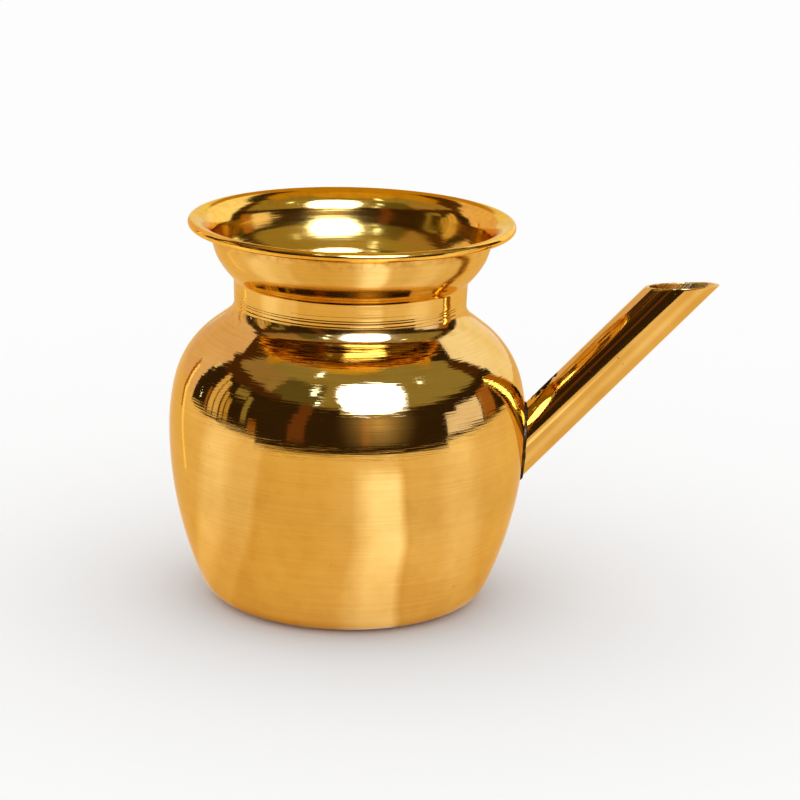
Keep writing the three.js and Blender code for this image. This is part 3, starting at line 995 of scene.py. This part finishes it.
# %% [markdown]
# ## Cards
# What the shoulder, the neck and the inside mirror stands round the pot as plain cards: pale walls at the
# sides, a dark curtain in front with a few panels, a ceiling of middling tone with a skylight, one large
# soft box with a glow under it, a few small lamps and thin lines across the table. A picture of a room
# could be wrapped round the scene instead, but cards have crisp edges at any size and each can be moved.
# They are seen by mirroring rays alone, so the plain level of light on everything stays as it is.

# %% A card that only the metal sees
pot_middle = Vector((0, 0, 65 * MM))


def toward(azimuth, elevation, distance):
    """A place in the studio, by its bearing from the pot. Azimuth 0 is in front, 90 is beyond the spout."""
    around, above = radians(azimuth), radians(elevation)
    sideways = sin(around) * cos(above)
    ahead = -cos(around) * cos(above)
    return pot_middle + distance * Vector((sideways, ahead, sin(above)))


def facing_pot(center):
    turn = (center - pot_middle).to_track_quat("Z", "Y")
    return Matrix.Translation(center) @ turn.to_matrix().to_4x4()


def add_card(bm, name, color, strength=1.0, glow_center=None, glow_reach=0):
    """A shining card. With a center it is a glow that fades out over a reach and hides nothing behind it."""
    card = as_object(bm, name)
    paint, tree, surface = bare_material(name)
    bounces = tree.nodes.new("ShaderNodeLightPath").outputs["Diffuse Depth"]
    level = times(tree, math_node(tree, "LESS_THAN", bounces, HALF_BOUNCE), strength)
    if glow_center is not None:
        away = vector_node(tree, "DISTANCE", object_place(tree), glow_center)["Value"]
        faded = mapped(tree, away, 0.0, glow_reach, 1.0, 0.0)
        level = times(tree, level, times(tree, faded, faded))
    shine = add_node(tree, "ShaderNodeEmission", Color=(*color, 1), Strength=level).outputs[0]
    if glow_center is not None:
        both = tree.nodes.new("ShaderNodeAddShader")
        clear = tree.nodes.new("ShaderNodeBsdfTransparent").outputs[0]
        feed_all(tree, both.inputs, (shine, clear))
        shine = both.outputs[0]
    tree.links.new(shine, surface)
    card.data.materials.append(paint)
    card.visible_camera = False
    card.visible_diffuse = False
    card.visible_shadow = False


# %% Round, flat and narrow cards
CARD_STEPS = 48
PLATE_DISTANCE = 2.5
LINE_LIFT = 2  # millimetres above the table


def turned_card(name, foot, top, left, right, color):
    """A strip between two rings, each a radius and a height, from one azimuth to another."""
    bm = bmesh.new()
    sideways, ahead = sin(radians(left)), -cos(radians(left))
    ends = [bm.verts.new((reach * sideways, reach * ahead, rise)) for reach, rise in (foot, top)]
    bmesh.ops.spin(
        bm,
        geom=[*ends, bm.edges.new(ends)],
        cent=(0, 0, 0),
        axis=(0, 0, 1),
        angle=radians(right - left),
        steps=CARD_STEPS,
        use_merge=right - left == 360,
    )
    add_card(bm, name, color)


def wall_card(name, distance, low, high, left, right, color):
    """A strip of a round wall between two elevations."""
    foot, top = (
        (distance, pot_middle.z + distance * tan(radians(elevation))) for elevation in (low, high)
    )
    turned_card(name, foot, top, left, right, color)


def flat_card(name, azimuth, elevation, width, height, corner, color, strength):
    """A plate with cut corners that faces the pot, with its sizes in degrees."""
    across = [2 * PLATE_DISTANCE * tan(radians(size / 2)) for size in (width, height)]
    cut = corner * min(across)
    bm = bmesh.new()
    bmesh.ops.create_grid(bm, x_segments=1, y_segments=1, size=0.5)
    bmesh.ops.scale(bm, vec=(*across, 1), verts=bm.verts)
    bmesh.ops.bevel(
        bm, geom=bm.verts[:], offset=cut, segments=3, profile=0.5, affect="VERTICES", material=-1
    )
    center = toward(azimuth, elevation, PLATE_DISTANCE)
    bmesh.ops.transform(bm, matrix=facing_pot(center), verts=bm.verts)
    add_card(bm, name, color, strength)


def table_line(name, near, far, near_half, far_half, color):
    """A straight stripe on the table between two places, with half its width at each, in millimetres."""
    near = Vector((*near, LINE_LIFT)) * MM
    far = Vector((*far, LINE_LIFT)) * MM
    across = (far - near).cross(Vector((0, 0, MM))).normalized() * MM
    bm = bmesh.new()
    sides = [(near, -near_half), (near, near_half), (far, far_half), (far, -far_half)]
    corners = [bm.verts.new(place + across * half) for place, half in sides]
    bmesh.ops.contextual_create(bm, geom=corners)
    add_card(bm, name, color)


# %% Tones of the cards
DARK = (0.035, 0.02, 0.01)
BROWN = (0.075, 0.03, 0.01)
RUST = (0.15, 0.055, 0.02)
ORANGE = (0.4, 0.17, 0.05)
OLIVE = (0.13, 0.115, 0.055)
MID_TONE = (0.32, 0.28, 0.15)
SAND = (0.36, 0.27, 0.18)
PEACH = (0.85, 0.64, 0.42)
AMBER = (0.7, 0.5, 0.22)
OCHRE = (0.6, 0.42, 0.16)
PALE = (1.0, 0.95, 1.4)
WARM_WHITE = (0.9, 0.7, 0.8)
GOLD_TONE = (0.54, 0.32, 0.03)
COOL_WALL = (1.15, 1.18, 1.75)
LINE_LIGHT = (1.5, 1.25, 0.9)
LINE_ORANGE = (0.45, 0.16, 0.035)

# %% Walls, curtain and panels
WALL = 3.1  # metres from the pot
CURTAIN = 3.0
PANELS = 2.9
FRIEZE_TOP = 56  # elevation where the ceiling starts
WALL_STRIPS = [  # low and high elevation, left and right azimuth, color
    (-1, 30, -165, -119, WARM_WHITE),
    (30, 38, -165, -116, WARM_WHITE),
    (38, 44, -165, -125, WARM_WHITE),
    (38, 44, -125, -112, BROWN),
    (44, FRIEZE_TOP, -165, -112, BROWN),
    (25, FRIEZE_TOP, -112, -60, SAND),
    (25, FRIEZE_TOP, -60, -20, OLIVE),
    (25, FRIEZE_TOP, -20, 115, MID_TONE),
    (46, FRIEZE_TOP, 115, 165, DARK),
    (-1, 46, 122, 165, COOL_WALL),
    (25, FRIEZE_TOP, 165, 195, GOLD_TONE),
]
CURTAIN_STRIPS = [
    (-2, 14, -120, 125, DARK),
    (14, 24, -119, 124, DARK),
    (24, 30, -116, -5, DARK),
    (24, 27, 40, 122, DARK),
    (30, 41, -116, -85, BROWN),
    (30, 39, -85, -67, BROWN),
    (30, 36, -67, -50, BROWN),
    (30, 32, -50, -35, BROWN),
    (27, 47, 107, 121, BROWN),
]
PANEL_STRIPS = [
    (-2, 15, -134, -131, LINE_ORANGE),
    (-2, 14, -131, -128.5, LINE_LIGHT),
    (-1, 14, -105, -103, ORANGE),
    (-1, 31, -101.5, -97, PEACH),
    (-1, 27, -96, -91.5, PEACH),
    (-1, 19, -90, -87, AMBER),
    (-1, 15, -86, -82.5, OCHRE),
    (20, 28, -84, -73, MID_TONE),
    (2, 25, -72, -68, MID_TONE),
    (-2, 4, -66, -60, ORANGE),
    (-2, 10, -38, -27, RUST),
    (10, 20, -36, -26, RUST),
    (20, 31, -33, -24, RUST),
    (-2, 19, 9, 14, RUST),
    (-3, 12, 66, 76, PALE),
    (-3, 17, 76, 96, PALE),
    (-3, 19, 97, 110, ORANGE),
    (0, 17, 98, 101, PEACH),
]
for distance, strips in ((WALL, WALL_STRIPS), (CURTAIN, CURTAIN_STRIPS), (PANELS, PANEL_STRIPS)):
    for number, strip in enumerate(strips):
        wall_card(f"strip_{10 * distance:.0f}_{number}", distance, *strip)
    print(len(strips), "strips stand", distance, "metres away")

# %% Table edge, thin lines and ceiling
TABLE_EDGE = 0.58  # metres from the pot, where the table ends in front
SIDE_EDGE = 1.2  # and at the sides
EDGE_LIFT = 1 * MM
CEILING_SPLIT = 100  # azimuth where the ceiling changes its tone
SKYLIGHT = (0.64, 0.4, 0.05)
SKYLIGHT_RADIUS = 1.3
SKYLIGHT_DROP = 0.1
EDGES = [(SIDE_EDGE, -120, -58), (TABLE_EDGE, -58, 64), (SIDE_EDGE, 64, 124)]
LINES = [  # near and far end, half of the width at each, color
    ((-142, 52), (-2190, 1900), 2.7, 63, LINE_LIGHT),
    ((-333, 257), (-2086, 2015), 7, 70, LINE_ORANGE),
]
for number, (reach, left, right) in enumerate(EDGES):
    turned_card(f"table_front_{number}", (reach, EDGE_LIFT), (CURTAIN, EDGE_LIFT), left, right, DARK)
for number, line in enumerate(LINES):
    table_line(f"table_line_{number}", *line)
ceiling_height = pot_middle.z + WALL * tan(radians(FRIEZE_TOP))
ceiling = (WALL, ceiling_height), (0, ceiling_height)
turned_card("ceiling_front", *ceiling, -CEILING_SPLIT, CEILING_SPLIT, MID_TONE)
turned_card("ceiling_back", *ceiling, CEILING_SPLIT, 360 - CEILING_SPLIT, GOLD_TONE)
skylight_height = ceiling_height - SKYLIGHT_DROP
turned_card("skylight", (SKYLIGHT_RADIUS, skylight_height), (0, skylight_height), -180, 180, SKYLIGHT)
print("the ceiling is", round(ceiling_height, 2), "metres up")

# %% Soft box and small lamps
SOFT_BOX = (18.5, 42, 38, 35)  # azimuth, elevation, width, height
BOX_WHITE = (0.72, 0.98, 2.7)  # cool enough to stay pale when the metal mirrors it twice
BOX_STRENGTH = 9.0
BOX_CORNER = 0.3  # share of the shorter side
GLOW_PLACE = (19.5, 13, 2.4)  # azimuth, elevation, distance
GLOW_TONE = (0.7, 0.56, 0.44)
GLOW_SIDES = 32
GLOW_RADIUS = 1.4
GLOW_REACH = 1.3
LAMP_WHITE = (0.75, 1.0, 2.0)
LAMP_STRENGTH = 5.0
LAMP_CORNER = 0.35
LAMPS = [  # as for the soft box
    (-39, 68, 2, 6),
    (-28, 48, 3, 9),
    (-22, 35, 3, 4),
    (68, 50, 3, 3),
    (-111, 4.5, 1, 2),
]
flat_card("soft_box", *SOFT_BOX, BOX_CORNER, BOX_WHITE, BOX_STRENGTH)
glow_center = toward(*GLOW_PLACE)
glow_shape = bmesh.new()
bmesh.ops.create_circle(
    glow_shape, cap_ends=True, segments=GLOW_SIDES, radius=GLOW_RADIUS, matrix=facing_pot(glow_center)
)
add_card(glow_shape, "soft_box_glow", GLOW_TONE, glow_center=glow_center, glow_reach=GLOW_REACH)
for number, lamp in enumerate(LAMPS):
    flat_card(f"lamp_{number}", *lamp, LAMP_CORNER, LAMP_WHITE, LAMP_STRENGTH)
print("one soft box with its glow, and", len(LAMPS), "lamps")

# %% [markdown]
# ## Camera
# The picture was taken from about 0.9 m away and 0.18 m above the rim, with a long lens, so the pot shows
# hardly any perspective. The camera's place and its yaw, pitch and roll were fitted to the outline.

# %% Camera at the photograph's view
CAMERA_PLACE = Vector((0, -850.39, 297.57)) * MM
CAMERA_YAW = 0.0188
CAMERA_PITCH = -0.2702
CAMERA_ROLL = 0.0277
FOCAL_PIXELS = 2860.48
IMAGE_PIXELS = 800
SENSOR_WIDTH = 36

camera_data = bpy.data.cameras.new("camera")
camera = bpy.data.objects.new("camera", camera_data)
bpy.context.scene.collection.objects.link(camera)
bpy.context.scene.camera = camera
camera_data.sensor_width = SENSOR_WIDTH
camera_data.lens = FOCAL_PIXELS / IMAGE_PIXELS * SENSOR_WIDTH
look = Vector((sin(CAMERA_YAW) * cos(CAMERA_PITCH), cos(CAMERA_YAW) * cos(CAMERA_PITCH), sin(CAMERA_PITCH)))
level_right = look.cross(Vector((0, 0, 1))).normalized()
level_up = level_right.cross(look)
right = cos(CAMERA_ROLL) * level_right + sin(CAMERA_ROLL) * level_up
up = right.cross(look)
camera.matrix_world = Matrix.Translation(CAMERA_PLACE) @ Matrix((right, up, -look)).transposed().to_4x4()
print("camera lens", round(camera_data.lens, 2), "mm")

# %% [markdown]
# The pieces have to stay inside the box of the solids that they stand for.

# %% Bring the scene up to date
bpy.context.view_layer.update()
